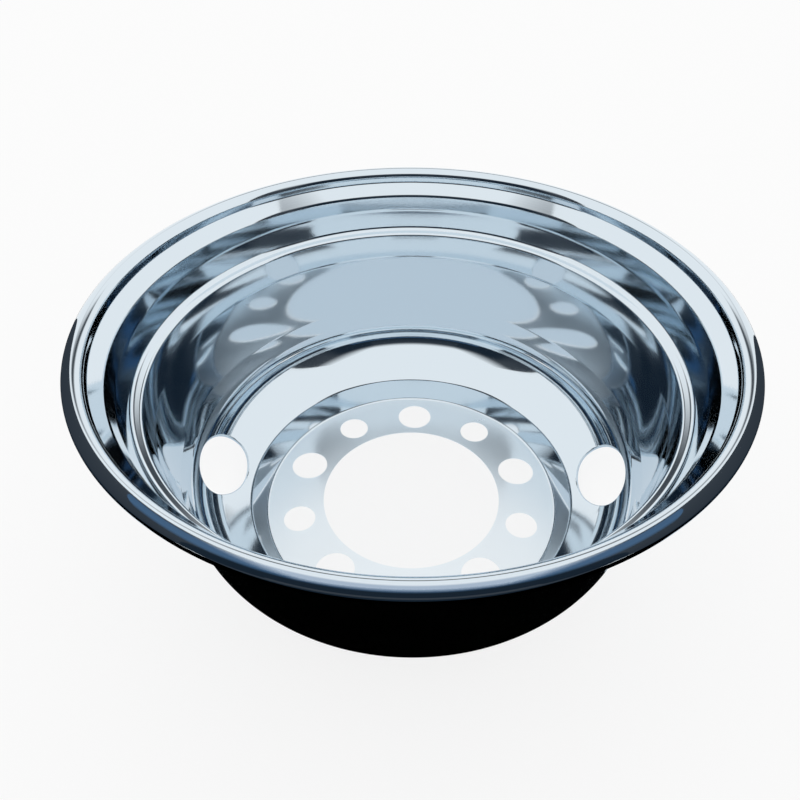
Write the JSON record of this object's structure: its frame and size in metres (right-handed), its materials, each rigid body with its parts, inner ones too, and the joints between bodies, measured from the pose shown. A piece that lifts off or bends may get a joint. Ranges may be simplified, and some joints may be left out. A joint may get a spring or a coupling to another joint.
{
  "type": "truck wheel simulator",
  "caption": "Deep stepped stainless wheel liner with a rolled edge, a dished foot with oval hand holes, and a flat centre with a hub hole and lug holes.",
  "frame": {"origin": "centre of the hub hole in the plane of the flat's back face, on which the part stands", "axes": "+Z along the wheel's axis and out of the liner's mouth, +X through the middle of one hand hole, +Y through the middle of a large lug hole"},
  "size_m": [0.5999, 0.6, 0.273],
  "materials": {
    "polished_stainless": "mirror polished stainless sheet, satin on the flat centre"
  },
  "bodies": {
    "root": {"wheel_liner": "polished_stainless"}
  },
  "joints": []
}
